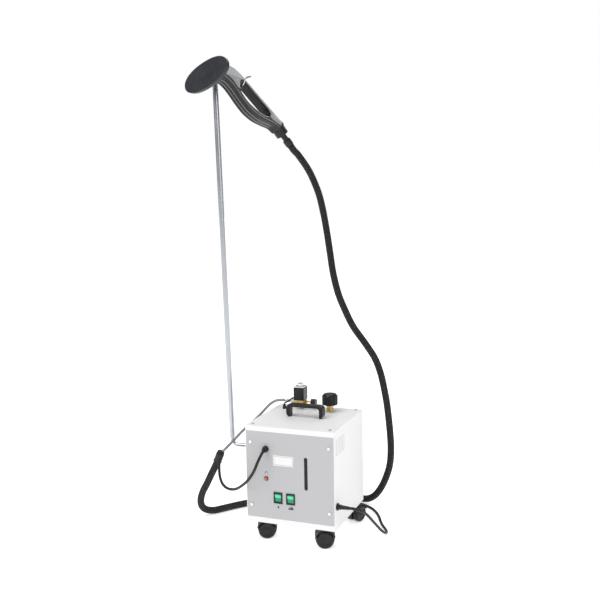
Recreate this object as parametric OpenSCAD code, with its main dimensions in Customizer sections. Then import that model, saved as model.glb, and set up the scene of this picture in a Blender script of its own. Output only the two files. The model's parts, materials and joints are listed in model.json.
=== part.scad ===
// Garment steamer: a boiler cabinet on casters, a stand rod with a hook, and a steam brush on a hose.
// The origin is on the floor under the middle of the cabinet. The front panel faces -Y.

/* [Cabinet] */
// Width of the cabinet
body_w = 260; // [215:1:320]
// Depth of the cabinet, front panel to rear panel
body_d = 260; // [215:1:320]
// Height of the cabinet without its casters
body_h = 275; // [255:1:340]
// Thickness of the sheet steel
sheet = 1.5; // [1:0.1:2]
// Height of the tray's front and rear lips
tray_lip = 15; // [12:1:20]
// Height of the cover's front and rear lips
cover_lip = 14.5; // [12:0.5:20]
// Gap round a panel
panel_gap = 0.3; // [0.2:0.1:1]
// Width of a corner post's leg
post_leg = 20; // [18:1:26]
// Distance of a cover screw from the two nearest edges
cover_screw_inset = 16; // [13:1:18]
// Distance of a panel screw from the cabinet's side
panel_screw_inset = 15; // [12:1:17]
// Height of the lower panel screws above the panel's foot
panel_screw_low = 34; // [20:1:40]
// Distance of the upper panel screws below the panel's head
panel_screw_high = 31; // [20:1:40]

/* [Boiler] */
// Outer radius of the boiler
tank_r = 68; // [50:1:70]
// Length of the boiler
tank_l = 190; // [120:1:190]
// Wall of the boiler
tank_wall = 2; // [1.5:0.1:3]
// Height of the boiler's axis above the tray
tank_up = 141; // [120:1:150]
// Distance of the boiler's axis behind the middle
tank_back = 50; // [45:1:58]
// Distance between the filler and the valve
port_pitch = 92; // [80:1:110]
// Distance of both ports behind the middle
port_back = 80; // [70:1:88]
// Radius of a port pipe
port_r = 7; // [5:0.5:8]

/* [Top fittings] */
// Radius of the filler cap
cap_r = 23; // [18:0.5:28]
// Height of the filler cap
cap_h = 32; // [24:1:38]
// Height of the filler neck above the cover
neck_h = 21; // [16:1:26]
// Travel of the filler cap when it is taken off
cap_lift = 34; // [20:1:60]
// Length of the valve body
valve_l = 40; // [34:1:50]
// Height of the valve body
valve_h = 12; // [10:1:16]
// Height of the valve body above the cover
valve_up = 18; // [15:1:24]
// Width of the solenoid coil
coil_w = 32; // [26:1:36]
// Height of the solenoid coil
coil_h = 38; // [30:1:46]
// Radius of the steam regulating knob
knob_r = 9.5; // [8:0.5:12]
// Distance between the carry handle's feet
handle_pitch = 100; // [90:1:130]
// Height of the carry handle
handle_h = 37; // [32:1:50]
// Thickness of the carry handle's bar
handle_bar = 8; // [7:0.5:13]
// Depth of the carry handle, front to back
handle_depth = 22; // [18:1:28]

/* [Front panel] */
// Width of a switch frame
switch_w = 25.5; // [22:0.5:28]
// Height of a switch frame
switch_h = 31.5; // [28:0.5:34]
// Width of a rocker
rocker_w = 17.4; // [14:0.1:18]
// Tilt of a rocker at rest
rocker_tilt = 9; // [6:1:10]
// Width of the level slot
slot_w = 10; // [8:0.5:12]
// Height of the level slot
slot_h = 92; // [70:1:100]
// Radius of the pilot lamp
lamp_r = 6.5; // [5:0.5:8]

/* [Stand] */
// Length of the stand from the arm's axis to its top
rod_len = 1076; // [700:1:1300]
// Radius of the stand rod
rod_r = 8; // [7.5:0.25:10]
// Radius of the stand arm
arm_r = 6; // [5:0.25:6.5]
// Reach of the stand arm from the cabinet's side
arm_reach = 134; // [100:1:180]
// Lean of the stand rod away from the cabinet
rod_lean = 1.3; // [0:0.1:3]
// Radius of the hook's wire
hook_r = 2.5; // [2:0.25:3]

/* [Handpiece] */
// Length of the steam plate
plate_l = 164; // [130:1:180]
// Width of the steam plate
plate_w = 76; // [60:1:84]
// Thickness of the steam plate
plate_t = 5; // [4:0.5:6]
// Thickness of the rim behind the steam plate
rim_t = 8; // [6:0.5:9]
// Thickness of the handle, both shells together
grip_t = 30; // [28:1:36]
// Wall of the handle shells
shell_wall = 2.5; // [2:0.1:3]
// Radius of the rear collar
collar_r = 20; // [18:0.5:23]
// Travel of the handpiece when it is lifted from its hook
hand_lift = 25; // [10:1:30]

/* [Casters] */
// Radius of a caster wheel
wheel_r = 25; // [20:0.5:26]
// Width of one of the two wheels
wheel_w = 17; // [14:0.5:18]
// Gap between the two wheels
wheel_gap = 12; // [11:0.5:16]
// Distance of the wheel's axle from the swivel pin
trail = 18; // [14:1:20]
// Distance of a swivel pin from the cabinet's side
caster_side = 24; // [24:1:40]
// Distance of a swivel pin from the cabinet's front or rear
caster_end = 38; // [26:1:50]

/* [Cords] */
// Radius of the steam hose, the control cord and the mains lead
lead_r = 4; // [3.5:0.25:5]
// Radius of the sleeve hose
sleeve_r = 10.5; // [9:0.5:12]
// Middle radius of the mains coil
coil_mid = 42; // [40:1:60]

/* [Hidden] */

$fn = 48;
eps = 0.01;
fit = 0.05;      // radial clearance of a running fit
play = 0.3;      // gap between parts that pass each other

w2 = body_w / 2;
d2 = body_d / 2;
plate_gap = 3;                                   // caster plate thickness
hood_gap = 1;                                    // hood to plate
hood_t = 3;
base_z = 2 * wheel_r + 1 + hood_t + hood_gap + plate_gap;
top_z = base_z + body_h;
floor_in = base_z + sheet;                       // inside face of the tray
roof_in = top_z - sheet;                         // inside face of the cover
wall_x = w2 - sheet;                             // inside face of the cover's sides
panel_foot = base_z + tray_lip + panel_gap;
panel_head = top_z - cover_lip - panel_gap;
panel_y = -d2 + sheet;                           // back of the front panel
screw_x = w2 - panel_screw_inset;
screw_zs = [panel_foot + panel_screw_low, panel_head - panel_screw_high];
cover_screw_x = w2 - cover_screw_inset;
cover_screw_y = d2 - cover_screw_inset;

// Front panel layout, from the middle of the panel and its foot
gland_x = -69;
gland_z = panel_foot + 197;
rivet_z = gland_z - 35;
lamp_z = gland_z - 84;
switch_z = panel_foot + 61;
switch_xs = [-35, 2];
slot_x = 48;
slot_z = panel_foot + 91;                        // foot of the slot
gauge_zs = [slot_z - 5, slot_z + slot_h + 5];    // the gauge's two pipes
gauge_pipe_r = 2.4;
label_x = -18;
label_z = gland_z - 30;
side_gland_y = -d2 + 19;
side_gland_z = base_z + 64;

tank_z = floor_in + tank_up;
port_xs = [-port_pitch / 2, port_pitch / 2];
port_foot = tank_z + sqrt(tank_r * tank_r - pow(port_back - tank_back, 2)) - 8;
valve_x = port_xs[0];
cap_x = port_xs[1];
valve_z = top_z + valve_up;                      // underside of the valve body
valve_mid = valve_z + valve_h / 2;
coil_gland_at = [-95, port_back - 8, top_z];
neck_top = top_z + neck_h;

socket_y = 60;
arm_z = base_z + 154;
bend_r = 18;
elbow_x = -w2 - arm_reach;
rod_gap = 6;                                     // bare arm between the bend and the rod
rod_insert = 40;
rod_top = [elbow_x + bend_r - bend_r * cos(rod_lean) - (rod_len - bend_r) * sin(rod_lean), socket_y,
    arm_z + bend_r - bend_r * sin(rod_lean) + (rod_len - bend_r) * cos(rod_lean)];

// The handpiece frame: x runs back from the steam plate, y to the upper edge, z to the near side
hand_at = rod_top + [28, -114, 12];
hand_turn = [69.4, 10.1, 73.05];
holes_l = 53;                                    // length of the group of steam holes
grip_half = grip_t / 2;
plug_at = [-78, 177, 19];
coil_at = [15, 188, 0];

swivels = [[-1, -1, 21.5], [1, -1, 201.5], [-1, 1, 250], [1, 1, 73]];

// Shared shapes

module ring(r_out, r_in, h) {
    difference() {
        cylinder(h = h, r = r_out);
        translate([0, 0, -1]) cylinder(h = h + 2, r = r_in);
    }
}

// A pan head screw with a slot, its head's underside at z = 0 and its shank below
module pan_screw(head_r, head_h, shank_r, shank_l) {
    difference() {
        cylinder(h = head_h, r = head_r);
        translate([-head_r - 1, -0.6, head_h - 1]) cube([2 * head_r + 2, 1.2, 2]);
    }
    translate([0, 0, -shank_l]) cylinder(h = shank_l + eps, r = shank_r);
}

module hex_bar(across, h) {
    cylinder(h = h, r = across / sqrt(3), $fn = 6);
}

module rounded_rect(w, h, r) {
    difference() {
        square([w, h], center = true);
        for (i = [-1, 1], j = [-1, 1]) translate([i * w / 2, j * h / 2]) difference() {
            square(2 * r, center = true);
            translate([-i * r, -j * r]) circle(r = r);
        }
    }
}

// An oval between an ellipse and a rectangle
function oval(l, w, n = 56) = [
    for (i = [0 : n - 1]) let (a = 360 * i / n, c = cos(a), s = sin(a))
        [sign(c) * pow(abs(c), 0.9) * l / 2, sign(s) * pow(abs(s), 0.9) * w / 2]
];

// A smooth closed curve through the given points
function spline_at(a, b, c, d, t) =
    0.5 * (2 * b + (c - a) * t + (2 * a - 5 * b + 4 * c - d) * t * t + (3 * b - a - 3 * c + d) * t * t * t);
function smooth(p, steps = 4) = let (n = len(p)) [
    for (i = [0 : n - 1], k = [0 : steps - 1])
        spline_at(p[(i + n - 1) % n], p[i], p[(i + 1) % n], p[(i + 2) % n], k / steps)
];

// Sweeping a round tube along a route
function unit(v) = v / norm(v);
function tangents(p) = [
    for (i = [0 : len(p) - 1]) unit(p[min(i + 1, len(p) - 1)] - p[max(i - 1, 0)])
];
function carry(ts, u, i = 0) = i == len(ts) ? [] :
    let (v = unit(u - ts[i] * (u * ts[i]))) concat([v], carry(ts, v, i + 1));
module tube(p, r, sides) {
    ts = tangents(p);
    us = carry(ts, abs(ts[0].z) < 0.8 ? [0, 0, 1] : [1, 0, 0]);
    n = len(p);
    rings = [
        for (i = [0 : n - 1], k = [0 : sides - 1])
            p[i] + r * (cos(360 * k / sides) * us[i] + sin(360 * k / sides) * cross(ts[i], us[i]))
    ];
    walls = [
        for (i = [0 : n - 2], k = [0 : sides - 1]) let (j = (k + 1) % sides)
            [i * sides + k, (i + 1) * sides + k, (i + 1) * sides + j, i * sides + j]
    ];
    first = [[for (k = [0 : sides - 1]) k]];
    last = [[for (k = [sides - 1 : -1 : 0]) (n - 1) * sides + k]];
    polyhedron(points = rings, faces = concat(walls, first, last), convexity = 10);
}

// Cabinet

// Folded tray with four welded corner posts
module base_frame() {
    lip_x = wall_x - fit;
    color("white") union() {
        difference() {
            translate([-w2, -d2, base_z]) cube([body_w, body_d, sheet]);
            for (s = swivels) translate([s.x * (w2 - caster_side), s.y * (d2 - caster_end), base_z - 1])
                cylinder(h = sheet + 2, r = 4 + fit);
        }
        for (y = [-d2, d2 - sheet]) translate([-lip_x, y, floor_in - eps])
            cube([2 * lip_x, sheet, tray_lip - sheet + eps]);
        for (i = [0, 1], j = [0, 1]) mirror([i, 0, 0]) mirror([0, j, 0]) difference() {
            corner_post();
            // All four posts are alike, so each has the hole for the mains gland
            translate([wall_x - 5, -side_gland_y, side_gland_z]) rotate([0, 90, 0])
                cylinder(h = 6, r = 6 + play);
        }
    }
}
module corner_post() {
    x = wall_x - fit;
    y = d2 - sheet;
    h = roof_in - floor_in - fit;
    difference() {
        union() {
            translate([x - post_leg, y - sheet, floor_in - eps]) cube([post_leg, sheet, h]);
            translate([x - sheet, y - post_leg, floor_in - eps]) cube([sheet, post_leg, h]);
            translate([x - post_leg, y - post_leg, floor_in + h - sheet]) cube([post_leg, post_leg, sheet]);
        }
        for (z = screw_zs) translate([screw_x, y + 1, z]) rotate([90, 0, 0])
            cylinder(h = sheet + 2, r = 2 + fit);
        translate([cover_screw_x, cover_screw_y, floor_in + h - sheet - 1]) cylinder(h = 4, r = 2 + fit);
    }
}

// Top and both sides of the cabinet in one folded sheet
module cover() {
    color("white") difference() {
        union() {
            translate([-w2, -d2, roof_in]) cube([body_w, body_d, sheet]);
            for (x = [-w2, wall_x]) translate([x, -d2, floor_in])
                cube([sheet, body_d, roof_in - floor_in + eps]);
            for (y = [-d2, d2 - sheet]) translate([-wall_x - eps, y, top_z - cover_lip])
                cube([2 * wall_x + 2 * eps, sheet, cover_lip - sheet + eps]);
        }
        for (x = port_xs) translate([x, port_back, roof_in - 1]) cylinder(h = 4, r = port_r + play);
        for (i = [-1, 1], j = [-1, 1]) translate([i * cover_screw_x, j * cover_screw_y, roof_in - 1])
            cylinder(h = 4, r = 2 + play);
        for (x = [-1, 1]) translate([x * handle_pitch / 2, 0, roof_in - 1]) cylinder(h = 4, r = 2.5 + play);
        translate([coil_gland_at.x, coil_gland_at.y, roof_in - 1]) cylinder(h = 4, r = 3.5);
        translate([wall_x - 1, side_gland_y, side_gland_z]) rotate([0, 90, 0]) cylinder(h = 4, r = 6 + fit);
        translate([-w2 - 1, socket_y, arm_z]) rotate([0, 90, 0]) cylinder(h = 4, r = arm_r + 3 + fit);
    }
}

module panel_blank() {
    x = wall_x - panel_gap;
    difference() {
        translate([-x, 0, panel_foot]) cube([2 * x, sheet, panel_head - panel_foot]);
        for (i = [-1, 1], z = screw_zs) translate([i * screw_x, -1, z]) rotate([-90, 0, 0])
            cylinder(h = sheet + 2, r = 2 + play);
    }
}

module front_panel() {
    color("silver") translate([0, -d2, 0]) difference() {
        panel_blank();
        translate([gland_x, -1, gland_z]) rotate([-90, 0, 0]) cylinder(h = 4, r = 6 + fit);
        translate([gland_x, -1, lamp_z]) rotate([-90, 0, 0]) cylinder(h = 4, r = lamp_r - 1 + fit);
        translate([gland_x, -1, rivet_z]) rotate([-90, 0, 0]) cylinder(h = 4, r = 1.5 + fit);
        for (x = switch_xs) translate([x - switch_w / 2 + 1.8, -1, switch_z - switch_h / 2 + 1.8])
            cube([switch_w - 3.6, 4, switch_h - 3.6]);
        translate([slot_x, 4, slot_z + slot_h / 2]) rotate([90, 0, 0]) linear_extrude(6)
            rounded_rect(slot_w, slot_h, slot_w / 2 - 0.1);
    }
}

module rear_panel() {
    vent_l = 60;
    color("silver") translate([0, d2 - sheet, 0]) difference() {
        panel_blank();
        for (i = [-1, 1], k = [0 : 4]) translate([i * 55 - vent_l / 2, -1, panel_head - 60 - 12 * k])
            cube([vent_l, 4, 5]);
    }
}

// Eight slotted screws that hold the two panels to the posts
module panel_screws() {
    color("gainsboro") for (j = [-1, 1], i = [-1, 1], z = screw_zs)
        translate([i * screw_x, j * d2, z]) rotate([j < 0 ? 90 : -90, 0, 0]) pan_screw(4.5, 2.6, 2, 9);
}

// Four screws down into the posts, and two up into the carry handle's feet
module cover_screws() {
    color("gainsboro") for (i = [-1, 1], j = [-1, 1])
        translate([i * cover_screw_x, j * cover_screw_y, top_z]) pan_screw(4.5, 2.6, 2, 9);
    color("gainsboro") for (i = [-1, 1])
        translate([i * handle_pitch / 2, 0, roof_in]) rotate([180, 0, 0]) pan_screw(5, 3, 2.5, 12);
}

// Boiler

module boiler_tank() {
    color("lightsteelblue") difference() {
        translate([-tank_l / 2, tank_back, tank_z]) rotate([0, 90, 0]) cylinder(h = tank_l, r = tank_r);
        translate([-tank_l / 2 + tank_wall, tank_back, tank_z]) rotate([0, 90, 0])
            cylinder(h = tank_l - 2 * tank_wall, r = tank_r - tank_wall);
        for (x = port_xs) translate([x, port_back, tank_z]) cylinder(h = tank_r + 5, r = port_r + fit);
        translate([tank_l / 2 - 5, tank_back, tank_z - 25]) rotate([0, 90, 0])
            cylinder(h = 10, r = 20 + fit);
        translate([0, tank_back, tank_z]) cylinder(h = tank_r + 5, r = 5 + fit);
        for (z = gauge_zs) translate([slot_x, tank_back - tank_r - 5, z]) rotate([-90, 0, 0])
            cylinder(h = tank_r, r = gauge_pipe_r + fit);
    }
}

// Two plates that carry the boiler on the tray
module tank_saddles() {
    saddle_w = 1.6 * tank_r;
    saddle_t = 3;
    saddle_x = tank_l * 0.32;
    color("silver") for (x = [-saddle_x, saddle_x]) difference() {
        translate([x - saddle_t / 2, tank_back - saddle_w / 2, floor_in])
            cube([saddle_t, saddle_w, tank_up - 20]);
        translate([x - saddle_t, tank_back, tank_z]) rotate([0, 90, 0])
            cylinder(h = 2 * saddle_t, r = tank_r + fit);
    }
}

// Hairpin heater on a flange at the boiler's right end
module heating_element() {
    end_x = tank_l / 2;
    hairpin = tank_l - 45;
    color("dimgray") translate([end_x, tank_back, tank_z - 25]) {
        rotate([0, 90, 0]) cylinder(h = 6, r = 28);
        translate([-tank_wall - 2, 0, 0]) rotate([0, 90, 0]) cylinder(h = tank_wall + 2 + eps, r = 20);
        for (y = [-11, 11]) translate([-hairpin, y, 0]) rotate([0, 90, 0]) cylinder(h = hairpin, r = 4);
        translate([-hairpin, 0, 0]) rotate([0, 0, 90]) rotate_extrude(angle = 180)
            translate([11, 0]) circle(r = 4);
        for (y = [-11, 11]) translate([6 - eps, y, 0]) rotate([0, 90, 0]) cylinder(h = 8, r = 3);
    }
}

module pressure_switch() {
    stub = tank_z + tank_r;
    color("darkslategray") {
        translate([0, tank_back, stub - 0.5]) cylinder(h = 12, r = 5);
        translate([-17, tank_back - 17, stub + 11]) cube([34, 34, 30]);
    }
}

// Glass tube on the boiler's water level, with its two elbow pipes
module level_gauge() {
    tube_y = panel_y + 12;
    color("lightcyan") translate([slot_x, tube_y, slot_z - 2]) cylinder(h = slot_h + 4, r = 5);
    color("goldenrod") for (z = gauge_zs) {
        reach = sqrt(max(pow(tank_r - 1, 2) - pow(z - tank_z, 2), 1));
        translate([slot_x, tube_y, z - 3]) cylinder(h = 6, r = 7);
        translate([slot_x, tube_y, z]) rotate([-90, 0, 0])
            cylinder(h = tank_back - reach - tube_y, r = gauge_pipe_r);
    }
}

// Dark strip behind the level slot
module sight_window() {
    color("black") translate([slot_x - slot_w / 2 - 3, panel_y + fit, slot_z - 4])
        cube([slot_w + 6, 2, slot_h + 8]);
}

module terminal_block() {
    color("ivory") difference() {
        translate([-90, -70, floor_in]) cube([60, 30, 25]);
        for (k = [0 : 4]) translate([-82 + 11 * k, -55, floor_in + 15]) cylinder(h = 12, r = 3);
    }
}

// Top fittings

module filler_neck() {
    nut_h = 9;
    color("goldenrod") translate([cap_x, port_back, 0]) difference() {
        union() {
            translate([0, 0, port_foot]) cylinder(h = neck_top - port_foot - 4, r = port_r);
            translate([0, 0, top_z]) hex_bar(20, nut_h);
            translate([0, 0, top_z + nut_h - eps]) cylinder(h = neck_h - nut_h - 2, r = 8.5);
            translate([0, 0, neck_top - 6]) cylinder(h = 12, r = 11);
        }
        translate([0, 0, port_foot - 2]) cylinder(h = 200, r = port_r - 2);
    }
}

// Ribbed cap that closes the filler neck, bevelled at the top
module filler_cap() {
    flutes = 12;
    color("black") translate([cap_x, port_back, neck_top]) difference() {
        rotate_extrude() polygon([[0, 8], [11 + play, 8], [11 + play, 0], [cap_r - 1, 0], [cap_r, 2],
            [cap_r, cap_h - 6], [cap_r - 5, cap_h], [0, cap_h]]);
        for (k = [0 : flutes - 1]) rotate(360 * (k + 0.5) / flutes) translate([cap_r + 1, 0, -1])
            cylinder(h = cap_h + 2, r = 3.6);
    }
}

module valve_riser() {
    color("silver") translate([valve_x, port_back, 0]) difference() {
        union() {
            translate([0, 0, port_foot]) cylinder(h = valve_z - port_foot, r = port_r);
            translate([0, 0, top_z + 4]) hex_bar(19, valve_up - 8);
        }
        translate([0, 0, port_foot - 2]) cylinder(h = valve_z - port_foot - 2, r = port_r - 2);
    }
}

module escutcheon() {
    color("whitesmoke") translate([valve_x, port_back, top_z]) ring(14, port_r + fit, 3);
}

module valve_body() {
    half = valve_l / 2;
    color("goldenrod") translate([valve_x, port_back, valve_mid]) {
        translate([4 - half, -13, -valve_h / 2]) cube([valve_l - 8, 26, valve_h]);
        translate([-half, 0, 0]) rotate([0, 90, 0]) cylinder(h = 5, r = 5.5);
        translate([half - 5, 0, 0]) rotate([0, 90, 0]) difference() {
            cylinder(h = 5, r = 5.5);
            translate([0, 0, 1]) cylinder(h = 6, r = 2.5 + fit);
        }
        translate([0, 0, valve_h / 2 - eps]) cylinder(h = coil_h + 3, r = 5);
    }
}

module solenoid_coil() {
    color("black") translate([valve_x, port_back, valve_z + valve_h]) difference() {
        linear_extrude(coil_h) rounded_rect(coil_w, coil_w + 4, 3);
        translate([0, 0, -1]) cylinder(h = coil_h + 2, r = 5 + fit);
    }
}

// Steel yoke round the coil, with the nut that holds it
module coil_yoke() {
    z = valve_z + valve_h + coil_h;
    color("lightgray") translate([valve_x, port_back, z]) {
        difference() {
            translate([-coil_w / 2 + 1.5, -coil_w / 2, 0]) cube([coil_w - 3, coil_w, 3]);
            translate([0, 0, -1]) cylinder(h = 6, r = 5 + fit);
        }
        difference() {
            translate([0, 0, 3 - eps]) cylinder(h = 8, r = 9);
            translate([0, 0, -1]) cylinder(h = 6, r = 5 + fit);
        }
    }
}

// Knob and stem that set the flow of steam
module regulating_knob() {
    end_x = valve_x + valve_l / 2;
    translate([end_x, port_back, valve_mid]) rotate([0, 90, 0]) {
        color("goldenrod") translate([0, 0, -3]) cylinder(h = 14 + 3, r = 2.5);
        color("black") difference() {
            translate([0, 0, 14 - eps]) cylinder(h = 15, r = knob_r);
            for (k = [0 : 7]) rotate(45 * k) translate([knob_r + 1, 0, 16]) cylinder(h = 15, r = 2);
        }
    }
}

module outlet_fitting() {
    end_x = valve_x - valve_l / 2;
    color("silver") translate([end_x, port_back, valve_mid]) rotate([0, -90, 0]) {
        hex_bar(11, 8);
        translate([0, 0, 8 - eps]) cylinder(h = 4, r = 3.5);
        translate([0, 0, 12 - 2 * eps]) hex_bar(10, 12);
        translate([0, 0, 24 - 3 * eps]) cylinder(h = 5, r = lead_r + 0.5);
    }
}

// Black lead from the coil to its gland on the cover
module coil_lead() {
    coil_side = valve_x - coil_w / 2;
    color("black") tube([[coil_side - play, port_back - 9, valve_z + valve_h + 5],
        [coil_side - 6, port_back - 9, valve_z + valve_h + 5], [coil_side - 15, port_back - 10, top_z + 27],
        coil_gland_at + [9, -3, 21], coil_gland_at + [2, -0.5, 18.5],
        coil_gland_at + [0, 0, 12 + play]], 2.2, 8);
}

// Bridge handle in one moulding
module carry_handle() {
    foot = 11;
    outer_w = handle_pitch + foot;
    inner_w = handle_pitch - foot;
    inner_h = handle_h - handle_bar;
    color("black") translate([0, 0, top_z]) difference() {
        translate([0, handle_depth / 2, 0]) rotate([90, 0, 0]) linear_extrude(handle_depth) difference() {
            translate([0, handle_h / 2]) rounded_rect(outer_w, handle_h, 12);
            translate([0, inner_h / 2 - 6]) rounded_rect(inner_w, inner_h + 12, 7);
        }
        for (x = [-1, 1]) translate([x * handle_pitch / 2, 0, -1]) cylinder(h = 14, r = 2.5 + fit);
    }
}

// Front fittings

// Strain relief bushes for the control cord, the mains lead and the coil lead
module cable_glands() {
    color("black") {
        translate([gland_x, -d2, gland_z]) rotate([90, 0, 0]) {
            translate([0, 0, -6]) cylinder(h = 6 + eps, r = 6);
            cylinder(h = 5, r = 9);
            translate([0, 0, 5 - eps]) cylinder(h = 9, r1 = 8, r2 = 6.5);
        }
        translate([w2, side_gland_y, side_gland_z]) rotate([0, 90, 0]) {
            translate([0, 0, -6]) cylinder(h = 6 + eps, r = 6);
            cylinder(h = 4, r = 10);
            translate([0, 0, 4 - eps]) cylinder(h = 8, r = 7);
            translate([0, 0, 12 - 2 * eps]) cylinder(h = 22, r1 = 6, r2 = lead_r + 0.6);
        }
        translate(coil_gland_at) {
            translate([0, 0, -6]) cylinder(h = 6 + eps, r = 3.4);
            hex_bar(11, 5);
            translate([0, 0, 5 - eps]) cylinder(h = 7, r = 4.5);
        }
    }
}

module pilot_lamp() {
    color("firebrick") translate([gland_x, -d2, lamp_z]) rotate([90, 0, 0]) {
        translate([0, 0, -14]) cylinder(h = 14 + eps, r = lamp_r - 1);
        cylinder(h = 1.5, r = lamp_r);
        translate([0, 0, 1.5 - eps]) cylinder(h = 3, r1 = lamp_r - 1, r2 = lamp_r - 3);
    }
    color("gray") translate([gland_x, -d2, rivet_z]) rotate([90, 0, 0]) {
        translate([0, 0, -4]) cylinder(h = 4 + eps, r = 1.5);
        cylinder(h = 1, r = 2.4);
    }
}

window_w = rocker_w + 1;
window_h = switch_h - 7.5;
rocker_deep = 12;
pivot_y = -d2 + 3;

module switch_frames() {
    color("black") for (x = switch_xs) translate([x, -d2, switch_z]) difference() {
        union() {
            translate([-switch_w / 2, -2, -switch_h / 2]) cube([switch_w, 2, switch_h]);
            translate([-switch_w / 2 + 2, -eps, -switch_h / 2 + 2]) cube([switch_w - 4, 24, switch_h - 4]);
        }
        translate([-window_w / 2, -3, -window_h / 2]) cube([window_w, 3 + rocker_deep, window_h]);
        translate([-window_w / 2 - 1.2, 3, 0]) rotate([0, 90, 0])
            cylinder(h = window_w + 2.4, r = 1.5 + fit);
    }
}

// Green rocker on its pivot, pressed in at the foot when it is on
module rocker(x) {
    color("seagreen") translate([x, pivot_y, switch_z]) rotate([rocker_tilt, 0, 0]) {
        reach = window_h / 2 - 0.5;
        face = 5.5;
        rotate([90, 0, 90]) translate([0, 0, -rocker_w / 2]) linear_extrude(rocker_w)
            polygon([[-face, reach * 0.88], [-face + 2, 0], [-face, -reach * 0.88],
                [4, -reach * 0.8], [4, reach * 0.8]]);
        translate([-rocker_w / 2 - 1, 0, 0]) rotate([0, 90, 0]) cylinder(h = rocker_w + 2, r = 1.5);
    }
}
module left_rocker() { rocker(switch_xs[0]); }
module right_rocker() { rocker(switch_xs[1]); }

// Blank plates: the name plate on the front, the rating label on the right side
module name_plate() {
    color("white") translate([label_x - 30, -d2 - 0.8, label_z - 14.5]) cube([60, 0.8, 29]);
    color("gainsboro") translate([w2, -d2 + 14, top_z - 70]) cube([0.4, 72, 45]);
}

// Stand

// Bush on the cabinet's side with the thumb screw that holds the arm
module stand_socket() {
    color("dimgray") translate([-w2, socket_y, arm_z]) {
        difference() {
            union() {
                rotate([0, -90, 0]) cylinder(h = 3, r = 15);
                rotate([0, -90, 0]) cylinder(h = 20, r = arm_r + 4);
                rotate([0, 90, 0]) translate([0, 0, -eps]) cylinder(h = 12, r = arm_r + 3);
            }
            rotate([0, -90, 0]) translate([0, 0, -14]) cylinder(h = 40, r = arm_r + fit);
            translate([-12, 0, 0]) cylinder(h = 30, r = 2.5 + fit);
        }
        translate([-12, 0, arm_r + fit]) cylinder(h = 12, r = 2.5);
        translate([-12, 0, arm_r + 10]) cylinder(h = 7, r = 7);
    }
}

// Solid bar that carries the rod beside the cabinet
module stand_arm() {
    straight = arm_reach - bend_r + 10;
    color("gainsboro") {
        translate([-w2 + 10, socket_y, arm_z]) rotate([0, -90, 0])
            cylinder(h = straight + eps, r = arm_r);
        translate([elbow_x + bend_r, socket_y, arm_z + bend_r]) rotate([90, 0, 0])
            rotate([0, 0, 180 + rod_lean]) rotate_extrude(angle = 90 - rod_lean)
                translate([bend_r, 0]) circle(r = arm_r - eps);
        rod_line() translate([0, 0, bend_r - eps]) cylinder(h = rod_gap + rod_insert, r = arm_r);
    }
}
// Places its children on the rod's axis, with z = 0 level with the arm
module rod_line() {
    translate([elbow_x + bend_r, socket_y, arm_z + bend_r]) rotate([0, -rod_lean, 0])
        translate([-bend_r, 0, -bend_r]) children();
}
module stand_rod() {
    foot = bend_r + rod_gap;
    color("gainsboro") rod_line() translate([0, 0, foot]) ring(rod_r, arm_r + fit, rod_len - foot);
}

hook_points = [
    [0, 0, 1], [0, 0, 6], [2, 1, 9], [7, 3, 9], [26, 15, -4], [40, 25, -15], [46, 29, -19], [52, 30, -20],
    [60, 28, -16], [76, 25, -4], [81, 25, 3], [84, 26, 11], [87, 26, 15], [92, 26, 18], [103, 24, 19],
];

// Bent wire hook in the end cap of the rod
module stand_hook() {
    color("gainsboro") {
        rod_line() translate([0, 0, rod_len - 12]) cylinder(h = 12, r = arm_r - fit);
        rod_line() translate([0, 0, rod_len]) cylinder(h = 3, r = rod_r);
        tube([for (p = hook_points) rod_top + p], hook_r, 12);
    }
}

// Handpiece

module in_hand() {
    translate(hand_at) rotate(hand_turn) children();
}

handle_outline = smooth([
    [14, -20], [38, -8], [62, 0], [84, -8], [104, -26], [125, -49], [151, -72], [186, -87], [225, -92],
    [258, -94], [281, -104], [294, -91], [307, -78], [290, -68], [254, -43], [208, -10], [162, 24], [149, 33],
    [132, 43], [114, 50], [96, 51], [75, 47], [45, 37], [14, 24],
]);
opening_outline = smooth([
    [132, 8], [127, -12], [131, -26], [140, -37], [157, -51], [178, -62], [200, -70], [222, -74], [240, -70],
    [248, -61], [244, -50], [232, -40], [198, -15], [164, 11], [150, 20], [139, 18],
]);
trigger_pin = [154, -57];
trigger_half = 4.5;
screw_spots = [[109, 14], [262, -68]];

module steam_plate() {
    color("dimgray") in_hand() difference() {
        rotate([0, 90, 0]) linear_extrude(plate_t) polygon([for (p = oval(plate_l, plate_w)) [-p.x, p.y]]);
        for (row = [0 : 3], k = [0 : 7]) let (along = (k + 0.5 * (row % 2)) * holes_l / 7.5)
            translate([-1, -17 + row * 5.5, -holes_l / 2 + along]) rotate([0, 90, 0])
                cylinder(h = plate_t + 2, r = 1.1, $fn = 16);
    }
}

// Rim and dome behind the steam plate
module head_shell() {
    color("#2a2b2e") in_hand() difference() {
        translate([plate_t, 0, 0]) rotate([0, 90, 0])
            linear_extrude(rim_t) polygon([for (p = oval(plate_l - 2, plate_w - 2)) [-p.x, p.y]]);
        translate([plate_t - eps, -8, 0]) rotate([0, 90, 0]) linear_extrude(rim_t - 3)
            polygon([for (p = oval(holes_l + 20, 40)) [-p.x, p.y]]);
        translate([plate_t - 1, pipe_start.y, pipe_start.z]) rotate([0, 90, 0])
            cylinder(h = rim_t + 2, r = pipe_r + fit);
    }
}

// The handle's outline, square to the rim at one end and to the collar at the other
module handle_profile() {
    difference() {
        polygon(handle_outline);
        translate([-100, -200]) square([100 + plate_t + rim_t, 400]);
        translate([collar_at.x, collar_at.y]) rotate(-45) translate([0, -60]) square([60, 120]);
    }
}

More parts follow.
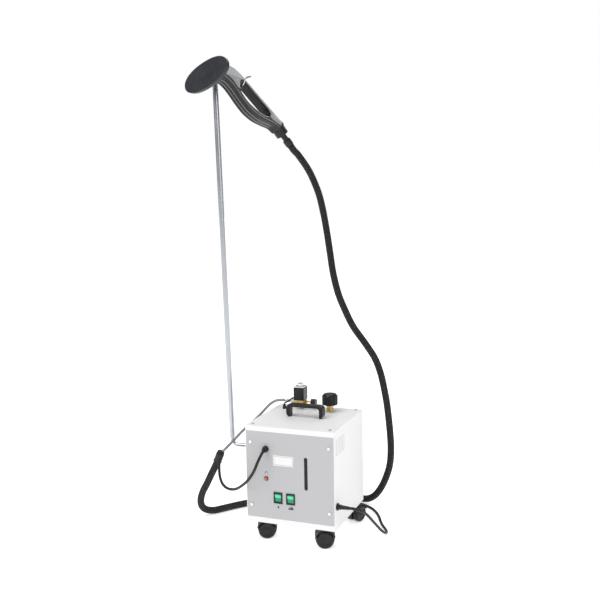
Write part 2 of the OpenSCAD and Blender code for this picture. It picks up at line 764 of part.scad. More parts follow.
// One half of the handle, between the plane of the split and the outer face
module handle_half(side) {
    z0 = side > 0 ? 0 : -grip_half;
    hollow_z = side > 0 ? -1 : -grip_half + shell_wall;
    in_hand() difference() {
        translate([0, 0, z0]) linear_extrude(grip_half) difference() {
            handle_profile();
            polygon(opening_outline);
        }
        translate([0, 0, hollow_z]) linear_extrude(grip_half - shell_wall + 1) difference() {
            offset(delta = -shell_wall) handle_profile();
            offset(delta = shell_wall) polygon(opening_outline);
            for (p = screw_spots) translate(p) circle(r = 4.5);
        }
        for (p = screw_spots) translate([p.x, p.y, -50]) cylinder(h = 100, r = 1.75 + fit);
        for (p = screw_spots) translate([p.x, p.y, side > 0 ? grip_half - 5 : -grip_half - 1])
            cylinder(h = 6, r = 3.5);
        trigger_window();
        pipe_holes();
    }
}
module near_handle_shell() { color("#3a3b3f") handle_half(1); }
module far_handle_shell() { color("#34353a") handle_half(-1); }

// The gap that the trigger moves in
module trigger_window() {
    translate([0, 0, -trigger_half - play]) linear_extrude(2 * trigger_half + 2 * play)
        polygon([[148, -42], [206, -64], [208, -78], [144, -62]]);
}

module handle_screws() {
    color("silver") in_hand() for (p = screw_spots)
        translate([p.x, p.y, grip_half - 5]) cylinder(h = 2, r = 3.2);
    color("silver") in_hand() for (p = screw_spots)
        translate([p.x, p.y, -grip_half + 3]) cylinder(h = grip_t - 8 + eps, r = 1.75);
}

// Lever inside the grip that the fingers squeeze
module trigger() {
    color("black") in_hand() {
        difference() {
            translate([0, 0, -trigger_half]) linear_extrude(2 * trigger_half)
                polygon([[151, -50], [160, -47.5], [180, -55], [200, -62],
                    [202, -67], [180, -66], [158, -62], [150, -59]]);
            translate([trigger_pin.x, trigger_pin.y, -10]) cylinder(h = 20, r = 1.5 + fit);
        }
    }
}

// Snap switch under the trigger's tail, and the pin that the trigger turns on
module microswitch() {
    color("ivory") in_hand() {
        translate([184, -82.3, 0.5]) cube([18, 7.5, 8]);
        translate([trigger_pin.x, trigger_pin.y, -grip_half + shell_wall])
            cylinder(h = grip_t - 2 * shell_wall, r = 1.5);
    }
}

pipe_r = 3;
pipe_start = [6, 2, -8.8];
pipe_points = [pipe_start, [20, 2, -8.8], [40, 12, -8.8], [62, 22, -8.8], [84, 14, -8.8], [104, -4, -8.8],
    [124, -30, -8.8], [142, -54, -8.8], [162, -70, -8.8], [190, -77, -8.8], [225, -81, -8.8], [258, -82, -7],
    [278, -82, -2], [294, -91, 0]];
module steam_pipe() {
    color("peru") in_hand() tube(pipe_points, pipe_r, 10);
}
// The holes that the steam pipe passes through
module pipe_holes() {
    translate([0, pipe_start.y, pipe_start.z]) rotate([0, 90, 0])
        cylinder(h = plate_t + rim_t + 5, r = pipe_r + fit);
    translate(collar_at) rotate([0, 0, -45]) translate([-14, 0, 0]) rotate([0, 90, 0])
        cylinder(h = 20, r = 5.5);
}

collar_at = [294, -91, 0];
collar_l = 22;
tail_l = 50;

// Places its children on the collar's axis
module on_collar() {
    in_hand() translate(collar_at) rotate([0, 0, -45]) rotate([0, 90, 0]) children();
}
module rear_collar() {
    color("#26272a") on_collar() difference() {
        union() {
            cylinder(h = collar_l, r = collar_r);
            translate([0, 0, collar_l - eps]) cylinder(h = tail_l - collar_l, r = 9);
        }
        translate([0, 0, -1]) cylinder(h = tail_l, r = 4.2);
    }
}
module hose_clamp() {
    color("#303134") on_collar() translate([0, 0, tail_l - 8]) {
        difference() {
            cylinder(h = 20, r = 12.5);
            translate([0, 0, -1]) cylinder(h = 9.5, r = 9 + fit);
        }
    }
}

// Casters

module at_swivel(s) {
    translate([s.x * (w2 - caster_side), s.y * (d2 - caster_end), 0]) children();
}

// Four plates under the tray, each with its swivel pin
module caster_plates() {
    color("dimgray") for (s = swivels) at_swivel(s) {
        translate([-19, -19, base_z - plate_gap]) cube([38, 38, plate_gap]);
        translate([0, 0, base_z - 20]) cylinder(h = 20 + sheet, r = 4);
    }
}

// Hood with its web between the wheels; the wheel's axle is behind the swivel pin
module hood(s) {
    hood_r = wheel_r + 1 + hood_t;
    width = 2 * wheel_w + wheel_gap;
    web = wheel_gap - 2;
    color("#1c1c1e") at_swivel(s) rotate(s.z) difference() {
        union() {
            translate([trail, width / 2, wheel_r]) rotate([90, 0, 0]) difference() {
                cylinder(h = width, r = hood_r);
                translate([0, 0, -1]) cylinder(h = width + 2, r = wheel_r + 1);
                translate([-60, -60, -1]) cube([120, 67, width + 2]);
            }
            translate([trail, web / 2, wheel_r]) rotate([90, 0, 0]) cylinder(h = web, r = wheel_r + 2);
            translate([0, 0, 2 * wheel_r - 13]) cylinder(h = 14 + hood_t, r = web / 2);
            translate([0, 0, 2 * wheel_r + 1]) cylinder(h = hood_t, r = 12);
        }
        translate([trail, 30, wheel_r]) rotate([90, 0, 0]) cylinder(h = 60, r = 3 + fit);
        translate([-60, -30, -10]) cube([120, 60, 18]);
        translate([0, 0, 20]) cylinder(h = 60, r = 4 + fit);
    }
}

// Two wheels on one axle
module wheels(s) {
    color("#141416") at_swivel(s) rotate(s.z) translate([trail, 0, wheel_r]) {
        for (j = [-1, 1]) rotate([-90 * j, 0, 0]) translate([0, 0, wheel_gap / 2]) rotate_extrude()
            polygon([[0, 0], [wheel_r - 3, 0], [wheel_r, 3], [wheel_r, wheel_w - 4], [wheel_r - 4, wheel_w],
                [wheel_r - 9, wheel_w], [wheel_r - 10, wheel_w - 1.2], [7, wheel_w - 1.2], [6, wheel_w],
                [0, wheel_w]]);
        rotate([90, 0, 0]) cylinder(h = wheel_gap + 2, r = 3, center = true);
    }
}
module front_left_hood() { hood(swivels[0]); }
module front_left_wheels() { wheels(swivels[0]); }
module front_right_hood() { hood(swivels[1]); }
module front_right_wheels() { wheels(swivels[1]); }
module rear_left_hood() { hood(swivels[2]); }
module rear_left_wheels() { wheels(swivels[2]); }
module rear_right_hood() { hood(swivels[3]); }
module rear_right_wheels() { wheels(swivels[3]); }

// Hoses and cords

steam_route = [
    [-95, 80, 357], [-112, 80, 356], [-128, 79, 352], [-142, 77, 343], [-156, 74, 329], [-174, 62, 308],
    [-190, 44, 290], [-205, 20, 274], [-223, -10, 250], [-238, -30, 231], [-249, -38, 219],
];
control_route = [
    [-69, -144, 270], [-72, -156, 260], [-80, -163, 240], [-91, -161, 217], [-106, -154, 195],
    [-124, -144, 175], [-145, -131, 157], [-168, -116, 141], [-190, -103, 132], [-212, -90, 129],
    [-231, -78, 134], [-244, -67, 146], [-251, -59, 162], [-254.5, -52, 180], [-256, -45, 197],
    [-255, -40, 211],
];
sleeve_route = [
    [-254, -38, 218], [-264, -37, 196], [-276, -34, 172], [-294, -31, 140], [-311, -28, 109],
    [-326, -25, 84], [-336, -21, 58], [-338, -14, 35], [-330, -2, 19], [-313, 17, 11.5],
    [-295, 40, 11], [-257, 90, 11], [-215, 136, 11], [-162, 192, 11], [-115, 232, 11],
    [-60, 258, 11], [-5, 267, 11], [45, 263, 11], [85, 253, 13], [113, 246, 19],
    [137, 244, 37], [160, 244, 74], [179, 244, 128], [184, 245, 182], [181, 245, 244],
    [173, 246, 317], [164, 247, 368], [152, 248, 419], [134, 248, 465], [103, 249, 510],
    [65, 250, 560], [39, 251, 610], [17, 252, 662], [1, 254, 723], [-10, 259, 785],
    [-23, 266, 856], [-37, 272, 920], [-52, 274, 974], [-77, 267, 1036], [-104, 250, 1084],
    [-115, 240.5, 1099], [-124, 229.8, 1115.8],
];
mains_route = [
    [164, -111, 122], [177, -110.5, 121.5], [191, -104, 117], [200, -89, 106], [206, -68, 88],
    [211, -44, 66], [216, -20, 44], [221, 2, 24], [225.5, 22, 10], [225.5, 42, 4.5], [217, 60, 4],
    [206, 77, 4], [195, 97, 4], [184, 121, 4], [172, 148, 4], [156, 176, 4], [137, 200, 4],
    [113, 219, 4], [87, 232, 4], [61, 238.5, 4], [38, 240, 4],
];
tail_route = [
    [-33.5, 201, 12], [-37, 193.5, 12.6], [-44.5, 185.5, 14.5], [-54, 180, 16.8],
    [-65, 177.3, 18.7], [-78, 177, 19],
];

module steam_hose() { color("darkgray") tube(steam_route, lead_r, 8); }
module control_cord() { color("black") tube(control_route, lead_r, 8); }
module sleeve_hose() { color("#1a1a1c") tube(sleeve_route, sleeve_r, 12); }
module mains_lead() { color("black") tube(mains_route, lead_r, 8); }

// Outer shape of the wound lead
module mains_coil() {
    wide = 6 * lead_r;
    high = 4 * lead_r;
    color("black") translate(coil_at) rotate_extrude() translate([coil_mid, high / 2])
        rounded_rect(wide, high, lead_r);
}
module plug_tail() { color("black") tube(tail_route, lead_r, 8); }
module mains_plug() {
    color("black") translate(plug_at) rotate([0, -90, 0]) {
        cylinder(h = 12, r1 = lead_r + 1, r2 = 8);
        translate([0, 0, 12 - eps]) cylinder(h = 10, r1 = 12, r2 = 19);
        translate([0, 0, 22 - 2 * eps]) cylinder(h = 14, r = 19);
    }
    color("silver") translate(plug_at) rotate([0, -90, 0]) for (y = [-9.5, 9.5])
        translate([0, y, 36 - 3 * eps]) cylinder(h = 19, r = 2.4);
}

base_frame();
cover();
front_panel();
rear_panel();
panel_screws();
cover_screws();
boiler_tank();
tank_saddles();
heating_element();
pressure_switch();
level_gauge();
sight_window();
terminal_block();
filler_neck();
filler_cap();
valve_riser();
escutcheon();
valve_body();
solenoid_coil();
coil_yoke();
regulating_knob();
outlet_fitting();
coil_lead();
carry_handle();
cable_glands();
pilot_lamp();
switch_frames();
left_rocker();
right_rocker();
name_plate();
stand_socket();
stand_arm();
stand_rod();
stand_hook();
steam_plate();
head_shell();
near_handle_shell();
far_handle_shell();
handle_screws();
trigger();
microswitch();
steam_pipe();
rear_collar();
hose_clamp();
caster_plates();
front_left_hood();
front_left_wheels();
front_right_hood();
front_right_wheels();
rear_left_hood();
rear_left_wheels();
rear_right_hood();
rear_right_wheels();
steam_hose();
control_cord();
sleeve_hose();
mains_lead();
mains_coil();
plug_tail();
mains_plug();
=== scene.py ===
import json
from math import ceil, cos, pi, radians, sin

import bmesh
import bpy
from mathutils import Euler, Matrix, Vector


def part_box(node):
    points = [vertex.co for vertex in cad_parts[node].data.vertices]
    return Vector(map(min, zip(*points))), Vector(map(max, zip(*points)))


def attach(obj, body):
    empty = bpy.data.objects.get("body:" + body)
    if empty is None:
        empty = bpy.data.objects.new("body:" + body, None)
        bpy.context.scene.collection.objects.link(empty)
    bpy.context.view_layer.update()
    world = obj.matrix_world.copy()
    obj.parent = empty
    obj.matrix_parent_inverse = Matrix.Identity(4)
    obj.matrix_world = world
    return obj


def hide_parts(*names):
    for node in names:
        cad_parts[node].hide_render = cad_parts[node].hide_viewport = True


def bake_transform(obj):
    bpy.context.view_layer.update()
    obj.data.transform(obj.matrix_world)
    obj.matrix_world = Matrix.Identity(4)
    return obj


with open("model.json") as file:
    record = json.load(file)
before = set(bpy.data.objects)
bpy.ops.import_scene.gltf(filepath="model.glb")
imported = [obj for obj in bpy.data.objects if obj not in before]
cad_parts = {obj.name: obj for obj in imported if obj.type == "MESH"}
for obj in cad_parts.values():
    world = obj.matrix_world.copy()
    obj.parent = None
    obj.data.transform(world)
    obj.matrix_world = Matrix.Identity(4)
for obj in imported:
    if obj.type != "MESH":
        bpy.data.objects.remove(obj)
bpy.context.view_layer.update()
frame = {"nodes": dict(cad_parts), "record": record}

nodes = frame["nodes"]
bpy.ops.object.select_all(action="DESELECT")


# Camera, 0.95 m above the floor and 2.3 m away, to the right of the cabinet's front. It looks
# slightly down at the steamer.

camera_data = bpy.data.cameras.new("camera")
camera_data.lens = 50
camera_data.sensor_width = 36
camera_data.clip_end = 50
camera = bpy.data.objects.new("camera", camera_data)
camera_pan = Matrix.Rotation(radians(21.45), 4, "Z")
camera_tilt = Matrix.Rotation(radians(90 - 6.84), 4, "X")
camera_roll = Matrix.Rotation(radians(-1.04), 4, "Z")
camera_place = Matrix.Translation((0.8413, -2.1688, 0.9491))
camera.matrix_world = camera_place @ camera_pan @ camera_tilt @ camera_roll
bpy.context.scene.collection.objects.link(camera)
bpy.context.scene.camera = camera


# Studio: a pale satin floor that runs out into a white surround. A soft sun stands overhead, and
# large area lights shine from the left, from the right and from behind.


def build_material(name, colour, roughness, metallic=0.0, specular=0.5):
    """A new material with its Principled shader, and the shader, its nodes and its links."""
    material = bpy.data.materials.new(name)
    material.use_nodes = True
    tree = material.node_tree
    shader = tree.nodes["Principled BSDF"]
    shader.inputs["Base Color"].default_value = (*colour, 1)
    shader.inputs["Roughness"].default_value = roughness
    shader.inputs["Metallic"].default_value = metallic
    shader.inputs["Specular IOR Level"].default_value = specular
    return material, tree, shader


floor_material, _, floor_shader = build_material("studio_floor", (0.90, 0.90, 0.90), 0.5, specular=0.1)
floor_shader.inputs["Emission Color"].default_value = (1, 1, 1, 1)
floor_shader.inputs["Emission Strength"].default_value = 0.56
bpy.ops.mesh.primitive_plane_add(size=160, location=(0, 0, 0))
floor = bpy.context.object
floor.name = "studio_floor"
floor.data.materials.append(floor_material)

# The surround is pure white to look at and dimmer as a light, so dark parts stay dark.
world = bpy.data.worlds.new("studio")
bpy.context.scene.world = world
world.use_nodes = True
surround = world.node_tree.nodes["Background"]
seen = world.node_tree.nodes.new("ShaderNodeLightPath")
dimmed = world.node_tree.nodes.new("ShaderNodeMapRange")
dimmed.inputs["To Min"].default_value = 0.34
dimmed.inputs["To Max"].default_value = 1.0
world.node_tree.links.new(seen.outputs["Is Camera Ray"], dimmed.inputs["Value"])
world.node_tree.links.new(dimmed.outputs["Result"], surround.inputs["Strength"])
surround.inputs["Color"].default_value = (1.0, 1.0, 1.0, 1)
bpy.context.scene.view_settings.view_transform = "Standard"

sun_data = bpy.data.lights.new("sun", "SUN")
sun_data.energy = 1.45
sun_data.angle = radians(50)
sun = bpy.data.objects.new("sun", sun_data)
sun.rotation_euler = (radians(12), radians(-9), 0)
bpy.context.scene.collection.objects.link(sun)
for light_name, place, size, watts in (
    ("key", (-1.5, -2.4, 2.6), 1.6, 25),
    ("fill", (2.4, -1.2, 1.8), 1.8, 13),
    ("back", (0.4, 2.6, 2.6), 2.0, 26),
):
    light_data = bpy.data.lights.new(light_name, "AREA")
    light_data.size = size
    light_data.energy = watts
    light = bpy.data.objects.new(light_name, light_data)
    light.location = place
    light.rotation_euler = (Vector((0, 0, 0.5)) - Vector(place)).to_track_quat("-Z", "Y").to_euler()
    bpy.context.scene.collection.objects.link(light)


# Hoses and leads. The steam hose is PTFE under a steel wire braid, the control cord and the mains
# lead are round rubber cable, and both service lines run to the handpiece in a textile braid sleeve.


def shader_group(name, inputs, outputs):
    """A node group with the named sockets, and the group with its input and output nodes."""
    group = bpy.data.node_groups.new(name, "ShaderNodeTree")
    for socket, kind, value in inputs:
        item = group.interface.new_socket(socket, in_out="INPUT", socket_type=kind)
        if value is not None:
            item.default_value = value
    for socket, kind in outputs:
        group.interface.new_socket(socket, in_out="OUTPUT", socket_type=kind)
    start = group.nodes.new("NodeGroupInput")
    end = group.nodes.new("NodeGroupOutput")
    return group, start, end


def wire(tree, output, target):
    """Joins an output to an input, or sets the input to a number."""
    if isinstance(output, (int, float)):
        target.default_value = output
    else:
        tree.links.new(output, target)


def calc(tree, operation, a, b=0.0, clamp=False):
    """One Math node's output."""
    node = tree.nodes.new("ShaderNodeMath")
    node.operation = operation
    node.use_clamp = clamp
    wire(tree, a, node.inputs[0])
    wire(tree, b, node.inputs[1])
    return node.outputs[0]


def blend_colours(tree, factor, low, high):
    """The colour between low and high that the factor gives."""
    node = tree.nodes.new("ShaderNodeMix")
    node.data_type = "RGBA"
    wire(tree, factor, node.inputs["Factor"])
    for value, socket in ((low, "A"), (high, "B")):
        colour_in = [i for i in node.inputs if i.name == socket and i.type == "RGBA"][0]
        if isinstance(value, tuple):
            colour_in.default_value = (*value, 1)
        else:
            tree.links.new(value, colour_in)
    return [o for o in node.outputs if o.type == "RGBA"][0]


def noise(tree, vector, scale, detail=3.0):
    """A noise texture's value at the vector."""
    node = tree.nodes.new("ShaderNodeTexNoise")
    node.inputs["Scale"].default_value = scale
    node.inputs["Detail"].default_value = detail
    tree.links.new(vector, node.inputs["Vector"])
    return node.outputs["Fac"]


def spread(tree, value, low, high, to_low=0.0, to_high=1.0):
    """The value carried from one range to another, held at the ends."""
    node = tree.nodes.new("ShaderNodeMapRange")
    wire(tree, value, node.inputs["Value"])
    for socket, number in zip(("From Min", "From Max", "To Min", "To Max"), (low, high, to_low, to_high)):
        node.inputs[socket].default_value = number
    return node.outputs["Result"]


def raise_surface(tree, shader, height, distance, strength=1.0):
    """Feeds a height through a Bump node into the shader's normal."""
    bump = tree.nodes.new("ShaderNodeBump")
    bump.inputs["Distance"].default_value = distance
    bump.inputs["Strength"].default_value = strength
    tree.links.new(height, bump.inputs["Height"])
    tree.links.new(bump.outputs["Normal"], shader.inputs["Normal"])


# Two families of strands that cross over and under each other round a tube.
braid, braid_in, braid_out = shader_group(
    "braid",
    (
        ("UV", "NodeSocketVector", None),
        ("Strands", "NodeSocketFloat", 12.0),
        ("Pitch", "NodeSocketFloat", 6.0),
    ),
    (("Height", "NodeSocketFloat"), ("Strand", "NodeSocketFloat")),
)
split = braid.nodes.new("ShaderNodeSeparateXYZ")
braid.links.new(braid_in.outputs["UV"], split.inputs[0])
around = calc(braid, "MULTIPLY", split.outputs["X"], braid_in.outputs["Strands"])
along = calc(braid, "MULTIPLY", split.outputs["Y"], braid_in.outputs["Pitch"])
rising = calc(braid, "FRACT", calc(braid, "ADD", around, along))
falling = calc(braid, "FRACT", calc(braid, "SUBTRACT", around, along))
crowns = [calc(braid, "SINE", calc(braid, "MULTIPLY", f, pi)) for f in (rising, falling)]
over = calc(braid, "SINE", calc(braid, "MULTIPLY", around, 2 * pi))
under = calc(braid, "SUBTRACT", 0.0, over)
lifted = [
    calc(braid, "MULTIPLY", crown, calc(braid, "ADD", calc(braid, "MULTIPLY", turn, 0.25), 0.75))
    for crown, turn in zip(crowns, (over, under))
]
braid.links.new(calc(braid, "MAXIMUM", *lifted), braid_out.inputs["Height"])
braid.links.new(calc(braid, "GREATER_THAN", *lifted), braid_out.inputs["Strand"])


def braided(name, low, high, roughness, metallic, strands, pitch, depth, glint_strength):
    """A braid's material: crowns in the high colour and gaps darkened to the low one as painted shade
    between the strands, with painted glints on the crowns here and there.
    """
    material, tree, shader = build_material(name, high, roughness, metallic, 0.5 if metallic else 0.25)
    uv = tree.nodes.new("ShaderNodeUVMap")
    uv.uv_map = "along"
    weave = tree.nodes.new("ShaderNodeGroup")
    weave.node_tree = braid
    tree.links.new(uv.outputs["UV"], weave.inputs["UV"])
    weave.inputs["Strands"].default_value = strands
    weave.inputs["Pitch"].default_value = pitch
    place = tree.nodes.new("ShaderNodeTexCoord").outputs["Object"]
    patches = spread(tree, noise(tree, place, 60), 0.35, 0.65)
    crown = spread(tree, weave.outputs["Height"], 0.35, 0.95)
    worn = blend_colours(tree, patches, high, tuple(c * 0.7 for c in high))
    # Pale specks on the crowns are painted glints.
    glint_specks = spread(tree, noise(tree, place, 900, 1), 0.66, 0.74)
    lit = calc(tree, "MULTIPLY", calc(tree, "MULTIPLY", glint_specks, crown), glint_strength)
    # The gaps between the strands take the low colour: painted shade between the strands.
    gap_shaded_colour = blend_colours(tree, crown, low, worn)
    tree.links.new(blend_colours(tree, lit, gap_shaded_colour, (0.55, 0.55, 0.53)), shader.inputs["Base Color"])
    gloss = spread(tree, weave.outputs["Height"], 0.2, 1, roughness + 0.2, roughness)
    tree.links.new(gloss, shader.inputs["Roughness"])
    raise_surface(tree, shader, weave.outputs["Height"], depth)
    return material


def rubber(name, colour, roughness):
    """Cable sheath: an even dark skin with a faint drawn texture along it and dull rubbed patches."""
    material, tree, shader = build_material(name, colour, roughness, specular=0.28)
    place = tree.nodes.new("ShaderNodeTexCoord").outputs["Object"]
    rubbed = spread(tree, noise(tree, place, 35, 4), 0.4, 0.7)
    dusty = tuple(c * 1.7 + 0.004 for c in colour)
    tree.links.new(blend_colours(tree, rubbed, colour, dusty), shader.inputs["Base Color"])
    tree.links.new(spread(tree, rubbed, 0, 1, roughness, roughness + 0.16), shader.inputs["Roughness"])
    raise_surface(tree, shader, noise(tree, place, 700, 2), 0.0002, 0.4)
    return material


def metres(route):
    """A route in millimetres as vectors in metres."""
    return [Vector(point) / 1000 for point in route]


def smooth_route(points, step):
    """Points a step apart on the smooth curve that passes through the given points."""
    padded = [2 * points[0] - points[1], *points, 2 * points[-1] - points[-2]]
    curve = [points[0]]
    for a, b, c, d in zip(padded, padded[1:], padded[2:], padded[3:]):
        parts = max(2, ceil((c - b).length / step))
        for k in range(1, parts + 1):
            t = k / parts
            squared = (2 * a - 5 * b + 4 * c - d) * t**2
            cubed = (3 * b - a - 3 * c + d) * t**3
            curve.append(0.5 * (2 * b + (c - a) * t + squared + cubed))
    return curve


def route_length(path):
    """The length of a line of points."""
    return sum((b - a).length for a, b in zip(path, path[1:]))


def sweep(name, path, radius, sides=16, material=None):
    """A closed round tube along a path; radius is a number or a function of the share of the way along."""
    mesh_build = bmesh.new()
    uv_layer = mesh_build.loops.layers.uv.new("along")
    size = radius if callable(radius) else (lambda share: radius)
    total = route_length(path)
    normal = None
    rings = []
    runs = []
    run = 0.0
    for i, point in enumerate(path):
        heading = (path[min(i + 1, len(path) - 1)] - path[max(i - 1, 0)]).normalized()
        if normal is None:
            normal = heading.orthogonal().normalized()
        normal = (normal - heading * normal.dot(heading)).normalized()
        side = heading.cross(normal)
        if i:
            run += (point - path[i - 1]).length
        r = size(run / total)
        turns = [2 * pi * k / sides for k in range(sides)]
        ring = [mesh_build.verts.new(point + r * (cos(turn) * normal + sin(turn) * side)) for turn in turns]
        rings.append(ring)
        runs.append(run / (2 * pi * size(0.5)))
    for i in range(len(rings) - 1):
        for k in range(sides):
            j = (k + 1) % sides
            face = mesh_build.faces.new((rings[i][k], rings[i][j], rings[i + 1][j], rings[i + 1][k]))
            face.smooth = True
            corners = ((k, i), (k + 1, i), (k + 1, i + 1), (k, i + 1))
            for loop, (u, v) in zip(face.loops, corners):
                loop[uv_layer].uv = (u / sides, runs[v])
    mesh_build.faces.new(rings[0][::-1])
    mesh_build.faces.new(rings[-1])
    bmesh.ops.recalc_face_normals(mesh_build, faces=mesh_build.faces)
    mesh = bpy.data.meshes.new(name)
    mesh_build.to_mesh(mesh)
    mesh_build.free()
    piece = bpy.data.objects.new(name, mesh)
    bpy.context.scene.collection.objects.link(piece)
    if material:
        mesh.materials.append(material)
    return piece


lead_r = 0.004
sleeve_r = 0.0105
route_step = 0.004
steel_braid = braided(
    "steel_braid", low=(0.10, 0.10, 0.10), high=(0.52, 0.52, 0.53), roughness=0.34, metallic=0.85,
    strands=10, pitch=10, depth=0.0004, glint_strength=0.0,
)
sleeve_braid = braided(
    "sleeve_braid", low=(0.004, 0.004, 0.004), high=(0.022, 0.023, 0.025), roughness=0.52, metallic=0.0,
    strands=14, pitch=14, depth=0.0007, glint_strength=0.75,
)
cable_rubber = rubber("cable_rubber", (0.012, 0.012, 0.013), 0.42)

steam_path = smooth_route(metres([
    (-95, 80, 357), (-112, 80, 356), (-128, 79, 352), (-142, 77, 343), (-156, 74, 329), (-174, 62, 308),
    (-190, 44, 290), (-205, 20, 274), (-223, -10, 250), (-238, -30, 231), (-249, -38, 219),
]), route_step)
steam_line = sweep("steam_line", steam_path, lead_r, 20, steel_braid)
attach(steam_line, "cabinet")
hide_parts("steam_hose")

control_path = smooth_route(metres([
    (-69, -144, 270), (-72, -156, 260), (-80, -163, 240), (-91, -161, 217), (-106, -154, 195),
    (-124, -144, 175), (-145, -131, 157), (-168, -116, 141), (-190, -103, 132), (-212, -90, 129),
    (-231, -78, 134), (-244, -67, 146), (-251, -59, 162), (-254.5, -52, 180), (-256, -45, 197),
    (-255, -40, 211),
]), route_step)
control_line = sweep("control_line", control_path, lead_r, 20, cable_rubber)
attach(control_line, "cabinet")
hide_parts("control_cord")

# The sleeve runs from the cabinet at its foot up to the handpiece at its top.
sleeve_step = 0.006
sleeve_path = smooth_route(metres([
    (-254, -38, 218), (-264, -37, 196), (-276, -34, 172), (-294, -31, 140), (-311, -28, 109),
    (-326, -25, 84), (-336, -21, 58), (-338, -14, 35), (-330, -2, 19), (-313, 17, 11.5),
    (-295, 40, 11), (-257, 90, 11), (-215, 136, 11), (-162, 192, 11), (-115, 232, 11),
    (-60, 258, 11), (-5, 267, 11), (45, 263, 11), (85, 253, 13), (113, 246, 19),
    (137, 244, 37), (160, 244, 74), (179, 244, 128), (184, 245, 182), (181, 245, 244),
    (173, 246, 317), (164, 247, 368), (152, 248, 419), (134, 248, 465), (103, 249, 510),
    (65, 250, 560), (39, 251, 610), (17, 252, 662), (1, 254, 723), (-10, 259, 785),
    (-23, 266, 856), (-37, 272, 920), (-52, 274, 974), (-77, 267, 1036), (-104, 250, 1084),
    (-115, 240.5, 1099), (-124, 229.8, 1115.8),
]), sleeve_step)
sleeve_line = sweep("sleeve_line", sleeve_path, sleeve_r, 24, sleeve_braid)
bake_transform(sleeve_line)
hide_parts("sleeve_hose")

# A shrunk rubber boot closes the sleeve's mouth round both lines.
boot_step = 0.0015
boot_path = smooth_route(metres([
    (-267.5, -36.4, 188), (-262, -37.2, 200), (-257.5, -37.6, 210), (-254, -38, 218),
    (-252.3, -38.2, 222),
]), boot_step)


def boot_radius(share):
    """The boot's radius: a rolled lower lip, a straight body and a rounded nose."""
    lip = 0.0012 * max(0, 1 - share / 0.1)
    nose = max(0, (share - 0.62) / 0.38)
    return sleeve_r + 0.0016 + lip - 0.0085 * nose ** 2.2


boot_rubber = rubber("boot_rubber", (0.016, 0.016, 0.017), 0.3)
boot = sweep("sleeve_boot", boot_path, boot_radius, 28, boot_rubber)
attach(boot, "cabinet")

# The mains lead droops to the floor, runs back behind the cabinet, and the rest of it is wound in
# two layers and tied. The turns run in along the floor and back out on top of it.
coil_centre = Vector((0.015, 0.188, 0))
outer_turn = 0.050
inner_turn = 0.034
lead_d = 2 * lead_r
turns_in = 2.0
turns_up = 0.3
turns_out = 1.908
start_angle = radians(90)


def coil_point(turn):
    """The lead's centre after that many turns of the coil."""
    if turn < turns_in:
        radius, height = outer_turn - lead_d * turn, lead_r
    elif turn < turns_in + turns_up:
        radius, height = inner_turn, lead_r + lead_d * (turn - turns_in) / turns_up
    else:
        share = (turn - turns_in - turns_up) / turns_out
        radius, height = inner_turn + (outer_turn - inner_turn) * share, lead_r + lead_d
    angle = start_angle + 2 * pi * turn
    return coil_centre + Vector((radius * cos(angle), radius * sin(angle), height))


points_a_turn = 24
all_turns = turns_in + turns_up + turns_out
coil_steps = ceil(all_turns * points_a_turn)
coil_points = [coil_point(k / coil_steps * all_turns) for k in range(coil_steps + 1)]
mains_run = metres([
    (164, -111, 122), (177, -110.5, 121.5), (191, -104, 117), (200, -89, 106), (206, -68, 88),
    (211, -44, 66), (216, -20, 44), (221, 2, 24), (225.5, 22, 10), (225.5, 42, 4.5), (217, 60, 4),
    (206, 77, 4), (195, 97, 4), (184, 121, 4), (172, 148, 4), (156, 176, 4), (137, 200, 4),
    (113, 219, 4), (87, 232, 4), (61, 238.5, 4), (38, 240, 4),
])
mains_tail = metres([
    (-37, 193.5, 12.6), (-44.5, 185.5, 14.5), (-54, 180, 16.8), (-65, 177.3, 18.7), (-78, 177, 19),
])
mains_path = smooth_route(mains_run + coil_points + mains_tail, route_step)
mains_line = sweep("mains_line", mains_path, lead_r, 16, cable_rubber)
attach(mains_line, "cabinet")
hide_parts("mains_lead", "mains_coil", "plug_tail")


# The tie round the coil is a soft black rubber band, looped once round the bundle. It closes
# tight round both layers and lies along the floor under them.

tie_r = 0.0009
tie_gap = 0.0008
tie_rise = 0.0006
tie_steps = 32
floor_gap = 0.0001
tie_angle = radians(285)
tie_out = Vector((cos(tie_angle), sin(tie_angle), 0))
tie_middle = coil_centre + tie_out * (outer_turn + inner_turn) / 2 + Vector((0, 0, lead_d))
tie_half = Vector(((outer_turn - inner_turn) / 2 + lead_r + tie_gap, 0, lead_d + tie_gap))
tie_path = []
for k in range(tie_steps + 1):
    angle = 2 * pi * k / tie_steps
    c, s = cos(angle), sin(angle)
    rounding = (abs(c) ** 5 + abs(s) ** 5) ** 0.2
    outward = tie_out * c * tie_half.x + Vector((0, 0, 1)) * s * tie_half.z
    tie_path.append(tie_middle + outward / rounding)
tie_path = [Vector((p.x, p.y, max(p.z, tie_rise))) for p in tie_path]
tie = sweep("coil_tie", tie_path, tie_r, 8, cable_rubber)
for vertex in tie.data.vertices:
    vertex.co.z = max(vertex.co.z, floor_gap)
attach(tie, "cabinet")


# Mains plug: a black two pin moulding on the end of the lead, with plated pins. It has finger
# ribs round its body and a ribbed sleeve where the lead comes in.

bodies = frame["record"]["behaviour"]["bodies"]
body_of_node = {part: body for body, members in bodies.items() for part in members}


